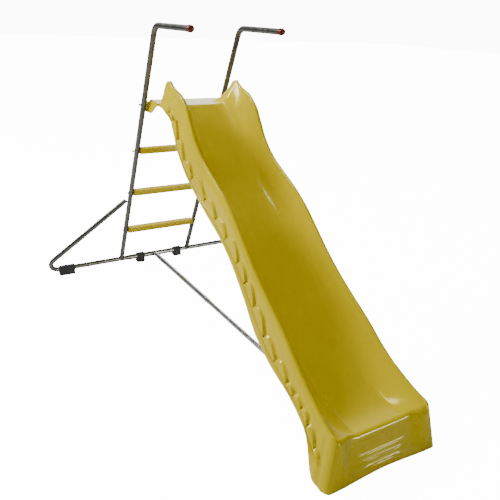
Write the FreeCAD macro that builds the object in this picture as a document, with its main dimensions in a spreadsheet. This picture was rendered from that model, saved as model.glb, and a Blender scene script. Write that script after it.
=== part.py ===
"""Wave slide: a child's garden slide with a leaning tube ladder and a one-piece wavy chute.

Frame: +Z up, +Y towards the ladder, +X across. The origin is on the ground, under the middle of the
bounding box. "Forward" below means towards the chute's exit, which is -Y.
"""
import FreeCAD, Part
import math
import os
import Sketcher
from FreeCAD import Placement, Rotation, Vector

DOC = FreeCAD.newDocument("WaveSlide")
SHEET = DOC.addObject("Spreadsheet::Sheet", "Sheet")

# Driving dimensions: millimetres and degrees, each set by itself.
DIMENSIONS = (
    ("stile_spacing", 410),        # between the two stiles' axes
    ("tube_outer", 25),            # outside diameter of the ladder and base tubes
    ("tube_wall", 1.5),
    ("ground_axis", 36),           # height of the base tubes' axis
    ("ladder_lean", 23.4),         # stiles lean forward from the vertical
    ("handle_top", 1310),          # height of the handles' axis
    ("handle_reach", 342),         # from the bend's corner to the handle's end
    ("handle_bend", 55),           # centreline radius
    ("stile_joint", 212),          # height where the upper stile meets the lower one
    ("spigot_long", 70),           # lower stile's neck inside the upper stile
    ("step_rise", 242),
    ("step_depth", 46),
    ("step_thick", 30),
    ("step_wall", 3),
    ("step_bore", 32),             # depth of the fastener bores in the steps' ends
    ("outrigger_reach", 602),      # from the middle to the outrigger's outermost axis point
    ("outrigger_bend", 44),
    ("outrigger_angle", 45.2),     # slope of the outrigger's brace, in the ladder's plane
    ("sleeve_gap", 27.5),          # from the base sleeve's end to the stile's side
    ("sleeve_wall", 1.6),
    ("foot_wall", 6),              # rubber round the tube
    ("corner_foot_long", 82),
    ("centre_foot_long", 44),
    ("foot_depth", 46),
    ("centre_foot_left", 113),     # from the left stile's axis to the left centre foot's middle
    ("centre_foot_right", 66),     # from the right stile's axis to the right one's
    ("foot_inset", 516),           # place of the corner feet along the outrigger
    ("cap_long", 16),
    ("strut_joint", 700),          # from the base tubes' axis to the joint of the two strut tubes
    ("strut_overlap", 70),
    ("pin_radius", 4),
    ("pin_drop", 25),              # platform pin below the platform's top
    ("bolt_radius", 3),
    ("clip_wire", 1),              # radius of the spring wire
    ("clip_leg", 27),
    ("clip_bend", 5),
    ("clip_stand", 6),             # from the stile's side to the clip
    ("platform_top", 988),
    ("platform_set", 9),           # platform's rear edge forward of the stiles' axes
    ("platform_thick", 12),
    ("platform_run", 193),         # from the platform's rear edge to where the bed begins to fall
    ("fin_set", 70),               # the fins begin this far behind the bed's fall
    ("leg_drop", 35),              # platform legs reach this far below their pins
    ("socket_wall", 3.2),          # ring that holds the strut inside the front face
    ("socket_long", 34),
    ("chute_exit", 1957),          # foot of the front face
    ("exit_height", 150),          # top of the exit lip
    ("chute_sag", 106),            # depth of the chute's single sag below a straight run
    ("chute_swell", 26.5),         # second, third and sixth harmonics of its wave
    ("chute_roll", 21),
    ("chute_ripple", 8),
    ("chute_wall", 5),
    ("crest_half", 172),           # half widths of the wall's crest and lower edge at the top
    ("skirt_half", 187),
    ("crest_half_exit", 214),
    ("skirt_half_exit", 250),
    ("crest_round", 10),
    ("bed_half", 62),              # half width of the flat bed, then its fillet
    ("bed_fillet", 70),
    ("front_tilt", 16.5),          # the front face leans back
    ("arch_half", 170),            # half width and rise of the arch under the front face
    ("arch_rise", 14),
    ("running", 0.06),             # radial clearance of a wire in its hole
    ("slip", 0.2),                 # radial clearance of a tube in a tube
    ("seat", 0.3),                 # gap between pieces that sit against each other
)


def fill_sheet():
    for row, (name, value) in enumerate(DIMENSIONS, start=1):
        SHEET.set(f"A{row}", name)
        SHEET.set(f"B{row}", str(value))
        SHEET.setAlias(f"B{row}", name)
    DOC.recompute()


def size(name):
    return float(getattr(SHEET, name))


fill_sheet()

LEAN = math.radians(size("ladder_lean"))
BASE_Y = (size("chute_exit") - size("foot_depth") / 2) / 2   # base tubes' axis in the model's frame
UP_LADDER = Vector(0, -math.sin(LEAN), math.cos(LEAN))
SIDES = (("left", -1), ("right", 1))
HEX_THICK = 4.0        # bolt heads and nuts
RUN_SECTIONS = 16      # sections of the loft down the chute
FOOT_SECTIONS = 10     # and of the flared foot
FOOT_SHARE = 0.915     # the foot begins at this share of the chute's length


def ladder_point(side_x, height):
    """A point on the ladder's plane at a height above the ground."""
    forward = (height - size("ground_axis")) * math.tan(LEAN)
    return Vector(side_x, BASE_Y - forward, height)


def along_ladder(height):
    """Length up the ladder's slope from the base tubes' axis to a height."""
    return (height - size("ground_axis")) / math.cos(LEAN)


def stile_x(sign):
    return sign * size("stile_spacing") / 2


def bind(thing, **expressions):
    for prop, text in expressions.items():
        thing.setExpression(prop.replace("__", "."), text)


def plane_of(body, role):
    return next(item for item in body.Origin.OriginFeatures if item.Role == role)


def new_body(name):
    body = DOC.addObject("PartDesign::Body", name)
    body.Label = name
    return body


def new_sketch(body, name, role):
    sketch = body.newObject("Sketcher::SketchObject", name)
    sketch.AttachmentSupport = [(plane_of(body, role), "")]
    sketch.MapMode = "FlatFace"
    return sketch


def add_circle(sketch, radius_text, centre=(0, 0)):
    """A circle with its radius bound to the sheet."""
    index = sketch.addGeometry(Part.Circle(Vector(centre[0], centre[1], 0), Vector(0, 0, 1), 5), False)
    number = sketch.addConstraint(Sketcher.Constraint("Radius", index, 5))
    sketch.setExpression(f"Constraints[{number}]", radius_text)
    return index


def centre_circle_at_origin(sketch, index):
    sketch.addConstraint(Sketcher.Constraint("Coincident", index, 3, -1, 1))


def bent_path(sketch, first, turn, radius, second):
    """A straight run up the sketch, a bend towards -x and a second run; all four bound."""
    start = 200.0
    turned = math.radians(60)
    bend = 20.0
    centre = Vector(-bend, start, 0)
    end = centre + Vector(bend * math.cos(turned), bend * math.sin(turned), 0)
    away = Vector(-math.sin(turned), math.cos(turned), 0)
    line_1 = sketch.addGeometry(Part.LineSegment(Vector(0, 0, 0), Vector(0, start, 0)), False)
    circle = Part.Circle(centre, Vector(0, 0, 1), bend)
    arc = sketch.addGeometry(Part.ArcOfCircle(circle, 0, turned), False)
    line_2 = sketch.addGeometry(Part.LineSegment(end, end + away * 80), False)
    add = sketch.addConstraint
    add(Sketcher.Constraint("Coincident", line_1, 1, -1, 1))
    add(Sketcher.Constraint("Vertical", line_1))
    add(Sketcher.Constraint("Tangent", line_1, 2, arc, 1))
    add(Sketcher.Constraint("Tangent", arc, 2, line_2, 1))
    length_1 = add(Sketcher.Constraint("Distance", line_1, start))
    length_2 = add(Sketcher.Constraint("Distance", line_2, 80))
    bend_size = add(Sketcher.Constraint("Radius", arc, bend))
    angle = add(Sketcher.Constraint("Angle", arc, turned))
    for number, text in ((bend_size, radius), (length_1, first), (length_2, second), (angle, turn)):
        sketch.setExpression(f"Constraints[{number}]", text)


def bent_tube(name, first, turn, radius, second, outer, inner=None):
    """A body whose round section follows a bent path in its own YZ plane, bending towards -Y."""
    body = new_body(name)
    path = new_sketch(body, name + "_path", "YZ_Plane")
    bent_path(path, first, turn, radius, second)
    section = new_sketch(body, name + "_section", "XY_Plane")
    centre_circle_at_origin(section, add_circle(section, outer))
    if inner:
        centre_circle_at_origin(section, add_circle(section, inner))
    pipe = body.newObject("PartDesign::AdditivePipe", name + "_pipe")
    pipe.Profile = section
    pipe.Spine = (path, ["Edge1", "Edge2", "Edge3"])
    DOC.recompute()
    return body


def cylinder(name, radius, height, where=None):
    item = DOC.addObject("Part::Cylinder", name)
    bind(item, Radius=radius, Height=height)
    if where:
        item.Placement = where
    return item


def box(name, length, width, height, where=None):
    item = DOC.addObject("Part::Box", name)
    bind(item, Length=length, Width=width, Height=height)
    if where:
        item.Placement = where
    return item


def fuse(name, items):
    joined = DOC.addObject("Part::MultiFuse", name)
    joined.Shapes = items
    joined.Label = name
    return joined


def cut(name, base, tool):
    result = DOC.addObject("Part::Cut", name)
    result.Base = base
    result.Tool = tool
    result.Label = name
    return result


def turned(axis, degrees, point=Vector(0, 0, 0)):
    return Placement(point, Rotation(axis, degrees))


TUBE_RADIUS = "Sheet.tube_outer / 2"
TUBE_INNER = "Sheet.tube_outer / 2 - Sheet.tube_wall"
ACROSS = Vector(0, 1, 0)


def sideways_at(x, y=0.0, z=0.0, sign=1):
    return turned(ACROSS, 90 * sign, Vector(x, y, z))


# ---- ladder -------------------------------------------------------------------------------------

def step_height(number):
    return size("step_rise") * number


def pin_height():
    return size("platform_top") - size("pin_drop")


def upper_stile(side, sign):
    """The leaning tube with its forward handle, drilled across for the pins and bolts."""
    name = "upper_stile_" + side
    lean = "Sheet.ladder_lean"
    turn = f"90 - {lean}"
    corner = f"Sheet.handle_bend * tan((90 - {lean}) / 2)"
    rise = f"(Sheet.handle_top - Sheet.stile_joint) / cos({lean})"
    body = bent_tube(name, f"{rise} - {corner}", turn, "Sheet.handle_bend",
                     f"Sheet.handle_reach - {corner}", TUBE_RADIUS, TUBE_INNER)
    foot = along_ladder(size("stile_joint"))
    for number, (height, radius) in enumerate(((step_height(1), "Sheet.bolt_radius"),
                                               (step_height(2), "Sheet.bolt_radius"),
                                               (step_height(3), "Sheet.pin_radius"),
                                               (pin_height(), "Sheet.pin_radius"))):
        cross_hole(body, f"{name}_hole_{number + 1}", along_ladder(height) - foot, radius)
    body.Placement = Placement(ladder_point(stile_x(sign), size("stile_joint")),
                               Rotation(Vector(1, 0, 0), size("ladder_lean")))
    return body


def cross_hole(body, name, height, radius):
    """A hole across a tube body, through both walls, at a height in the body's own frame."""
    sketch = new_sketch(body, name + "_sketch", "YZ_Plane")
    index = add_circle(sketch, f"{radius} + Sheet.slip", (0, height))
    sketch.addConstraint(Sketcher.Constraint("PointOnObject", index, 3, -2))
    sketch.addConstraint(Sketcher.Constraint("DistanceY", -1, 1, index, 3, height))
    pocket = body.newObject("PartDesign::Pocket", name)
    pocket.Profile = sketch
    pocket.Type = "ThroughAll"
    pocket.Midplane = True
    DOC.recompute()


def lower_stile(side, sign):
    """The short tube from the base to the joint, coped onto the base tube, with a neck that
    carries the upper stile."""
    name = "lower_stile_" + side
    foot = "Sheet.tube_outer / 4"
    to_joint = f"(Sheet.stile_joint - Sheet.ground_axis) / cos(Sheet.ladder_lean) - Sheet.seat - {foot}"
    start = Placement(Vector(0, 0, size("tube_outer") / 4), Rotation())
    shank = cylinder(name + "_shank", TUBE_RADIUS, to_joint, start)
    neck = cylinder(name + "_neck", f"{TUBE_INNER} - Sheet.slip", f"{to_joint} + Sheet.spigot_long", start)
    bore = cylinder(name + "_bore", f"{TUBE_INNER} - Sheet.slip - Sheet.tube_wall",
                    "Sheet.stile_joint * 3", Placement(Vector(0, 0, -size("tube_outer")), Rotation()))
    cope = cylinder(name + "_cope", f"{TUBE_RADIUS} + Sheet.seat", "Sheet.tube_outer * 4",
                    sideways_at(-2 * size("tube_outer")))
    bolt_place = along_ladder(step_height(1))
    drill = cylinder(name + "_drill", "Sheet.bolt_radius + Sheet.slip", "Sheet.tube_outer * 4",
                     sideways_at(-2 * size("tube_outer"), 0, bolt_place))
    solid = fuse(name + "_solid", [shank, neck])
    stile = cut(name, solid, fuse(name + "_holes", [bore, cope, drill]))
    stile.Placement = Placement(ladder_point(stile_x(sign), size("ground_axis")),
                                Rotation(Vector(1, 0, 0), size("ladder_lean")))
    return stile


def step(number):
    """A moulded tread between the stiles: rounded, open underneath, bored at its ends."""
    name = f"step_{number}"
    body = new_body(name)
    long = "Sheet.stile_spacing - Sheet.tube_outer - 2 * Sheet.seat"
    section = new_sketch(body, name + "_section", "YZ_Plane")
    add_rectangle(section, "Sheet.step_depth", "Sheet.step_thick")
    pad = body.newObject("PartDesign::Pad", name + "_pad")
    pad.Profile = section
    pad.Midplane = True
    pad.setExpression("Length", long)
    DOC.recompute()
    rounds = body.newObject("PartDesign::Fillet", name + "_rounds")
    rounds.Base = (pad, long_edges(pad.Shape))
    rounds.setExpression("Radius", "Sheet.step_wall * 1.5")
    DOC.recompute()
    underside = new_sketch(body, name + "_underside", "XY_Plane")
    add_rectangle(underside, f"{long} - 2 * Sheet.step_bore - 4 * Sheet.step_wall",
                  "Sheet.step_depth - 2 * Sheet.step_wall")
    underside.setExpression("AttachmentOffset.Base.z", "Sheet.step_thick / 2 - Sheet.step_wall")
    hollow = body.newObject("PartDesign::Pocket", name + "_hollow")
    hollow.Profile = underside
    hollow.Type = "ThroughAll"
    DOC.recompute()
    fastener = "Sheet.pin_radius" if number == 3 else "Sheet.bolt_radius"
    ends = new_sketch(body, name + "_ends", "YZ_Plane")
    centre_circle_at_origin(ends, add_circle(ends, f"{fastener} + Sheet.slip"))
    bores = body.newObject("PartDesign::Pocket", name + "_bores")
    bores.Profile = ends
    bores.Type = "ThroughAll"
    bores.Midplane = True
    DOC.recompute()
    body.Placement = Placement(ladder_point(0, step_height(number)), Rotation())
    return body


def add_rectangle(sketch, width, height):
    """A rectangle centred on the sketch's origin, its two sides bound to the sheet."""
    corners = [Vector(x * 20, y * 10, 0) for x, y in ((-1, -1), (1, -1), (1, 1), (-1, 1))]
    for first, second in zip(corners, corners[1:] + corners[:1]):
        sketch.addGeometry(Part.LineSegment(first, second), False)
    add = sketch.addConstraint
    for index in range(4):
        add(Sketcher.Constraint("Coincident", index, 2, (index + 1) % 4, 1))
    for index, kind in enumerate(("Horizontal", "Vertical", "Horizontal", "Vertical")):
        add(Sketcher.Constraint(kind, index))
    add(Sketcher.Constraint("Symmetric", 0, 1, 2, 1, -1, 1))
    wide = add(Sketcher.Constraint("DistanceX", 0, 1, 0, 2, 40))
    tall = add(Sketcher.Constraint("DistanceY", 1, 1, 1, 2, 20))
    sketch.setExpression(f"Constraints[{wide}]", width)
    sketch.setExpression(f"Constraints[{tall}]", height)


def long_edges(shape):
    """The edges that run along X, over the whole length of the shape."""
    length = shape.BoundBox.XLength
    return [f"Edge{number}" for number, edge in enumerate(shape.Edges, start=1)
            if abs(edge.BoundBox.XLength - length) < 0.01]


def handle_cap(side, sign):
    """The domed plastic cap over a handle's end: a socket round the tube and a rounded nose."""
    name = "handle_cap_" + side
    radius = f"{TUBE_RADIUS} + Sheet.tube_wall"
    body = cylinder(name + "_skirt", radius, "Sheet.cap_long")
    nose = DOC.addObject("Part::Sphere", name + "_nose")
    bind(nose, Radius=radius)
    nose.Angle1 = 0
    top = cylinder(name + "_socket", f"{TUBE_RADIUS} + Sheet.slip", "Sheet.cap_long")
    nose.Placement = Placement(Vector(0, 0, size("cap_long")), Rotation())
    cap = cut(name, fuse(name + "_solid", [body, nose]), top)
    end = ladder_point(stile_x(sign), size("handle_top"))
    end.y -= size("handle_reach") - size("cap_long") + size("seat")
    cap.Placement = Placement(end, Rotation(Vector(1, 0, 0), 90))
    return cap


# ---- base ---------------------------------------------------------------------------------------

def base_loop(side, sign):
    """A ground tube that bends up at the corner into a brace that ends against the stile."""
    name = "base_loop_" + side
    body = bent_tube(name, "Sheet.outrigger_reach - Sheet.outrigger_bend - Sheet.seat",
                     "180 - Sheet.outrigger_angle", "Sheet.outrigger_bend",
                     brace_expression(), TUBE_RADIUS, TUBE_INNER)
    axis_z = Vector(sign, 0, 0)
    axis_y = UP_LADDER * -1
    axis_x = axis_y.cross(axis_z)
    start = Vector(sign * size("seat"), BASE_Y, size("ground_axis"))
    body.Placement = Placement(start, Rotation(axis_x, axis_y, axis_z, "ZYX"))
    return body


def brace_expression():
    slope = "Sheet.outrigger_angle"
    outside = "Sheet.stile_spacing / 2 + Sheet.tube_outer / 2 + Sheet.seat"
    corner = f"Sheet.tube_outer / 2 * sin({slope})"
    start = f"Sheet.outrigger_reach - Sheet.outrigger_bend + Sheet.outrigger_bend * sin({slope})"
    return f"({start} - ({outside}) - {corner}) / cos({slope})"


def base_sleeve():
    """The thicker tube that joins the two ground tubes in the middle."""
    long = "Sheet.stile_spacing - Sheet.tube_outer - 2 * Sheet.sleeve_gap"
    half = (size("stile_spacing") - size("tube_outer")) / 2 - size("sleeve_gap")
    outer = cylinder("base_sleeve_outer", f"{TUBE_RADIUS} + Sheet.slip + Sheet.sleeve_wall", long)
    inner = cylinder("base_sleeve_inner", f"{TUBE_RADIUS} + Sheet.slip", long)
    sleeve = cut("base_sleeve", outer, inner)
    sleeve.Placement = sideways_at(-half, BASE_Y, size("ground_axis"))
    return sleeve


def saddle_foot(name, long, bore, x):
    """A rubber block round a ground tube: flat below, rounded above."""
    thick = f"{bore} + Sheet.foot_wall"
    block = box(name + "_block", long, "Sheet.foot_depth", "Sheet.ground_axis")
    block.Placement = Placement(Vector(0, -size("foot_depth") / 2, 0), Rotation())
    top = cylinder(name + "_top", thick, long, sideways_at(0, 0, size("ground_axis")))
    hole = cylinder(name + "_bore", bore, long, sideways_at(0, 0, size("ground_axis")))
    foot = cut(name, fuse(name + "_solid", [block, top]), hole)
    foot.Placement = Placement(Vector(x, BASE_Y, 0), Rotation())
    return foot


def feet():
    tube = f"{TUBE_RADIUS} + Sheet.slip"
    sleeve = f"{TUBE_RADIUS} + 2 * Sheet.slip + Sheet.sleeve_wall"
    made = []
    for side, sign in SIDES:
        middle = sign * size("foot_inset") - size("corner_foot_long") / 2
        made.append(saddle_foot("corner_foot_" + side, "Sheet.corner_foot_long", tube, middle))
        middle = stile_x(sign) - sign * size("centre_foot_" + side) - size("centre_foot_long") / 2
        made.append(saddle_foot("centre_foot_" + side, "Sheet.centre_foot_long", sleeve, middle))
    return made


# ---- strut --------------------------------------------------------------------------------------

def forward_at(distance, height):
    """Placement that turns a cylinder's axis forward, starting at a distance from the base tubes."""
    return Placement(Vector(0, BASE_Y - distance, height), Rotation(Vector(1, 0, 0), 90))


def strut_start():
    return size("tube_outer") / 2 + size("slip") + size("sleeve_wall") + size("seat")


def strut_rear():
    """The wider strut tube, from the base sleeve to the joint."""
    name = "strut_rear_tube"
    long = "Sheet.strut_joint - (Sheet.tube_outer / 2 + Sheet.slip + Sheet.sleeve_wall + Sheet.seat)"
    outer = cylinder(name + "_outer", TUBE_RADIUS, long)
    inner = cylinder(name + "_inner", TUBE_INNER, long)
    drill = cylinder(name + "_drill", "Sheet.bolt_radius + Sheet.slip", "Sheet.tube_outer * 2",
                     turned(Vector(1, 0, 0), 90, Vector(0, size("tube_outer"), strut_bolt_place() - strut_start())))
    tube = cut(name, outer, fuse(name + "_holes", [inner, drill]))
    tube.Placement = forward_at(strut_start(), size("ground_axis"))
    return tube


def strut_bolt_place():
    return size("strut_joint") - size("strut_overlap") / 2


def strut_front():
    """The narrower strut tube, from inside the rear one to the chute's front face."""
    name = "strut_front_tube"
    start = size("strut_joint") - size("strut_overlap")
    radius = f"{TUBE_INNER} - Sheet.slip"
    long = (f"{chute_back_text()} - Sheet.seat - Sheet.strut_joint + Sheet.strut_overlap")
    outer = cylinder(name + "_outer", radius, long)
    inner = cylinder(name + "_inner", f"{radius} - Sheet.tube_wall", long)
    drill = cylinder(name + "_drill", "Sheet.bolt_radius + Sheet.slip", "Sheet.tube_outer * 2",
                     turned(Vector(1, 0, 0), 90, Vector(0, size("tube_outer"), strut_bolt_place() - start)))
    tube = cut(name, outer, fuse(name + "_holes", [inner, drill]))
    tube.Placement = forward_at(start, size("ground_axis"))
    return tube


def chute_back_text():
    """The inner side of the chute's front face, at the strut's top edge."""
    top = "(Sheet.ground_axis + Sheet.tube_outer / 2)"
    return f"Sheet.chute_exit - {top} * tan(Sheet.front_tilt) - Sheet.chute_wall / cos(Sheet.front_tilt)"


def strut_bolt():
    """The upright bolt through both strut tubes, with its head above and nut below."""
    name = "strut_bolt"
    half = size("tube_outer") / 2
    shank = cylinder(name + "_shank", "Sheet.bolt_radius", "Sheet.tube_outer + 2 * Sheet.seat + 4",
                     Placement(Vector(0, 0, -half - size("seat") - 4), Rotation()))
    head = hexagon(name + "_head", Vector(0, 0, half + size("seat")))
    nut = hexagon(name + "_nut", Vector(0, 0, -half - size("seat") - HEX_THICK))
    bolt = fuse(name, [shank, head, nut])
    bolt.Placement = Placement(Vector(0, BASE_Y - strut_bolt_place(), size("ground_axis")), Rotation())
    return bolt


def hexagon(name, where):
    prism = DOC.addObject("Part::Prism", name)
    prism.Polygon = 6
    prism.Height = HEX_THICK
    prism.setExpression("Circumradius", "Sheet.bolt_radius * 2")
    prism.Placement = Placement(where, Rotation())
    return prism


# ---- pins, bolts and clips ----------------------------------------------------------------------

def outward(sign, x, height):
    """Placement whose +Z points out of the ladder's side, at a height on the stiles' plane."""
    point = ladder_point(sign * x, height)
    return turned(ACROSS, 90 * sign, point)


def clip_x():
    return size("stile_spacing") / 2 + size("tube_outer") / 2 + size("clip_stand")


def cross_pin(name, sign, height, inner_x, headed):
    """A clevis pin through the stile, with a cross hole for the clip near its outer end."""
    radius = "Sheet.pin_radius"
    beyond = f"Sheet.stile_spacing / 2 + Sheet.tube_outer / 2 + 2 * Sheet.clip_stand - {inner_x}"
    solid = cylinder(name + "_shank", radius, beyond)
    if headed:
        head = cylinder(name + "_head", f"{radius} * 1.8", "Sheet.chute_wall / 2")
        solid = fuse(name + "_solid", [solid, head])
    hole = cylinder(name + "_hole", "Sheet.clip_wire + Sheet.running", f"{radius} * 4",
                    turned(ACROSS, 90 * sign, Vector(-sign * 2 * size("pin_radius"), 0,
                                                     clip_x() - inner_x)))
    pin = cut(name, solid, hole)
    pin.Placement = outward(sign, inner_x, height)
    return pin


def spring_clip(name, sign, height):
    """A hairpin of spring wire: one leg through the pin, the other behind it."""
    body = bent_tube(name, "Sheet.clip_leg", "180", "Sheet.clip_bend", "Sheet.clip_leg - Sheet.clip_bend",
                     "Sheet.clip_wire")
    place = ladder_point(sign * clip_x(), height)
    place.z -= size("clip_leg") - 2 * size("clip_bend") - size("pin_radius")
    body.Placement = Placement(place, Rotation(Vector(0, 0, 1), 180))
    return body


def platform_inner_x():
    """The inner side of the platform's legs."""
    return size("stile_spacing") / 2 - size("tube_outer") / 2 - size("seat") - size("chute_wall")


def pins_and_clips():
    made = []
    head = size("chute_wall") / 2 + size("seat")
    step_inner = (size("stile_spacing") - size("tube_outer")) / 2 - size("step_bore")
    for side, sign in SIDES:
        made.append(cross_pin("platform_pin_" + side, sign, pin_height(), platform_inner_x() - head, True))
        made.append(spring_clip("platform_clip_" + side, sign, pin_height()))
        made.append(cross_pin("step_pin_" + side, sign, step_height(3), step_inner, False))
        made.append(spring_clip("step_clip_" + side, sign, step_height(3)))
    return made


def step_bolts():
    """Four hexagon bolts that hold the two lower steps; they share one node."""
    inner = size("stile_spacing") / 2 - size("tube_outer") / 2 - size("step_bore")
    outer = size("stile_spacing") / 2 + size("tube_outer") / 2 + size("seat")
    bolts = []
    for number in (1, 2):
        for side, sign in SIDES:
            name = f"step_{number}_bolt_{side}"
            shank = cylinder(name + "_shank", "Sheet.bolt_radius",
                             "Sheet.tube_outer + Sheet.step_bore + Sheet.seat")
            head = hexagon(name + "_head", Vector(0, 0, outer - inner))
            bolt = fuse(name, [shank, head])
            bolt.Placement = outward(sign, inner, step_height(number))
            bolts.append(bolt)
    group = DOC.addObject("Part::Compound", "step_bolts")
    group.Links = bolts
    group.Label = "step_bolts"
    return group


# ---- chute --------------------------------------------------------------------------------------

def platform_rear():
    """The platform's rear edge, just forward of the stiles at its height."""
    return BASE_Y - ladder_point(0, size("platform_top")).y + size("platform_set")


def chute_start():
    """Where the bed leaves the platform."""
    return platform_rear() + size("platform_run")


def chute_share(forward):
    """How far along the chute a place is, from its start to the exit lip."""
    return (forward - chute_start()) / (lip_forward() - chute_start())


def bed_height(forward):
    """Height of the bed's middle line: a straight fall, sagged and waved by sines, and flat
    before it leaves the platform."""
    share = min(max(chute_share(forward), 0.0), 1.0)
    fall = size("platform_top") - size("exit_height")
    height = size("exit_height") + fall * (1 - share)
    for order, swing in ((1, -size("chute_sag")), (2, size("chute_swell")), (3, -size("chute_roll")),
                         (6, size("chute_ripple"))):
        height += swing * math.sin(order * math.pi * share)
    return height


def lip_forward():
    return size("chute_exit") - size("exit_height") * math.tan(math.radians(size("front_tilt")))


def eased(knots, forward):
    """A value along the chute between knots (share of its length, value), with a smooth step."""
    share = chute_share(forward)
    before = knots[0]
    for knot in knots:
        if share <= knot[0]:
            if knot[0] == before[0]:
                return knot[1]
            part = (share - before[0]) / (knot[0] - before[0])
            part = part * part * (3 - 2 * part)
            return before[1] + (knot[1] - before[1]) * part
        before = knot
    return knots[-1][1]


FILLET_SHARE = 0.6     # the bed's fillet takes up at most this share of the wall's height

# Side wall above the bed, and skirt below it, as shares of the chute's length and millimetres.
WALL_KNOTS = ((-0.054, 26), (-0.012, 99), (0.10, 157), (0.21, 112), (0.40, 124), (0.72, 116), (1.0, 22))
SKIRT_KNOTS = ((-0.05, 26), (0.045, 14), (0.16, 63), (0.40, 17), (0.5, 22), (0.64, 56), (0.83, 22),
               (0.93, 50), (0.985, 150))


def widths(forward):
    """Half widths of the crest and the lower edge: even down the chute, flared at the exit."""
    share = (forward - chute_start()) / (size("chute_exit") - chute_start())
    flare = max(0.0, share) ** 3
    crest = size("crest_half") + (size("crest_half_exit") - size("crest_half")) * flare
    skirt = size("skirt_half") + (size("skirt_half_exit") - size("skirt_half")) * flare
    return crest, skirt


def fillet_tangent(corner, centre, radius):
    """Where the line from the wall's top touches the bed's fillet circle."""
    reach = corner - centre
    base = math.atan2(reach.z, reach.x)
    swing = math.acos(radius / reach.Length)
    angle = base - swing
    middle = (angle - math.pi / 2) / 2
    touch = centre + Vector(math.cos(angle), 0, math.sin(angle)) * radius
    halfway = centre + Vector(math.cos(middle), 0, math.sin(middle)) * radius
    return touch, halfway


def half_section(forward, inset):
    """Points of the right half of the shell's section, from its lower edge to the bed, each with
    the shell's thickness taken off when inset isn't zero."""
    crest, skirt = widths(forward)
    bed = bed_height(forward)
    top = bed + eased(WALL_KNOTS, forward)
    low = max(0.0, bed - eased(SKIRT_KNOTS, forward))
    ridge = size("crest_round")
    fillet = min(size("bed_fillet"), (top - bed) * FILLET_SHARE)
    bed_half = crest - size("crest_half") + size("bed_half")
    foot = Vector(skirt - inset, 0, low)
    shoulder = Vector(crest - inset, 0, top - ridge)
    peak = Vector(crest - ridge, 0, top - inset)
    inner = Vector(crest - 2 * ridge + inset, 0, top - ridge)
    centre = Vector(bed_half, 0, bed + fillet)
    touch, halfway = fillet_tangent(inner, centre, fillet + inset)
    edge = Vector(bed_half, 0, bed - inset)
    return foot, shoulder, peak, inner, touch, halfway, edge


def half_edges(points):
    foot, shoulder, peak, inner, touch, halfway, edge = points
    return [Part.LineSegment(foot, shoulder).toShape(), Part.Arc(shoulder, peak, inner).toShape(),
            Part.LineSegment(inner, touch).toShape(), Part.Arc(touch, halfway, edge).toShape()]


def mirrored(points):
    return [Vector(-point.x, point.y, point.z) for point in points]


def placed(points, forward, tilt):
    """Moves section points to their place; a tilted section leans back above the bed's height."""
    bed = bed_height(forward)
    return [Vector(point.x, BASE_Y - forward - (bed - point.z) * math.tan(tilt), point.z)
            for point in points]


def section_wire(forward, tilt=0.0):
    """The closed outline of the shell: its outer line, then back along its inner line."""
    outer = placed(half_section(forward, 0.0), forward, tilt)
    inner = placed(half_section(forward, size("chute_wall")), forward, tilt)
    left_outer = mirrored(outer)
    left_inner = mirrored(inner)
    edges = half_edges(outer) + [Part.LineSegment(outer[-1], left_outer[-1]).toShape()]
    edges += half_edges(left_outer)
    edges.append(Part.LineSegment(left_outer[0], left_inner[0]).toShape())
    edges += half_edges(left_inner) + [Part.LineSegment(left_inner[-1], inner[-1]).toShape()]
    edges += half_edges(inner)
    edges.append(Part.LineSegment(inner[0], outer[0]).toShape())
    return Part.Wire(Part.sortEdges(edges)[0])


def front_outline(tilt):
    """The shell's outer line at the exit, closed along the ground."""
    forward = lip_forward()
    outer = placed(half_section(forward, 0.0), forward, tilt)
    left = mirrored(outer)
    edges = half_edges(outer) + [Part.LineSegment(outer[-1], left[-1]).toShape()]
    edges += half_edges(left)
    edges.append(Part.LineSegment(left[0], outer[0]).toShape())
    return Part.Wire(Part.sortEdges(edges)[0])


def spread(first, last, count):
    return [first + (last - first) * number / count for number in range(count + 1)]


def run_shell():
    """The trough from the fins down to the foot."""
    first = chute_start() - size("fin_set")
    stations = spread(first, foot_start(), RUN_SECTIONS)
    return Part.makeLoft([section_wire(forward) for forward in stations], True, False)


def foot_start():
    return chute_start() + (lip_forward() - chute_start()) * FOOT_SHARE


def foot_shell(tilt):
    """The flared foot, whose sections lean back step by step to the front face."""
    wires = []
    for number, forward in enumerate(spread(foot_start(), lip_forward(), FOOT_SECTIONS)):
        wires.append(section_wire(forward, tilt * number / FOOT_SECTIONS))
    return Part.makeLoft(wires, True, True)


def front_face(tilt):
    """The plate that closes the exit, arched over the ground between its two feet."""
    face = Part.Face(front_outline(tilt))
    inward = Vector(0, math.cos(tilt), math.sin(tilt))
    plate = face.extrude(inward * size("chute_wall"))
    half = size("arch_half")
    rise = size("arch_rise")
    radius = (half * half + rise * rise) / (2 * rise)
    before = Vector(0, BASE_Y - size("chute_exit") - 2 * size("chute_wall"), rise - radius)
    return plate.cut(Part.makeCylinder(radius, size("exit_height"), before, ACROSS))


def leg_outline(front):
    """Side view of a platform leg: it holds the pin and tapers forward into a gusset."""
    pin = ladder_point(0, pin_height())
    half = size("tube_outer")
    top = size("platform_top")
    under = top - size("platform_thick")
    low = pin_height() - size("leg_drop")
    edge = BASE_Y - front
    return [Vector(0, pin.y + 0.2 * half, top), Vector(0, pin.y + 0.8 * half, low),
            Vector(0, pin.y - 1.3 * half, low), Vector(0, edge + 1.2 * half, under),
            Vector(0, edge, under), Vector(0, edge, top)]


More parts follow.
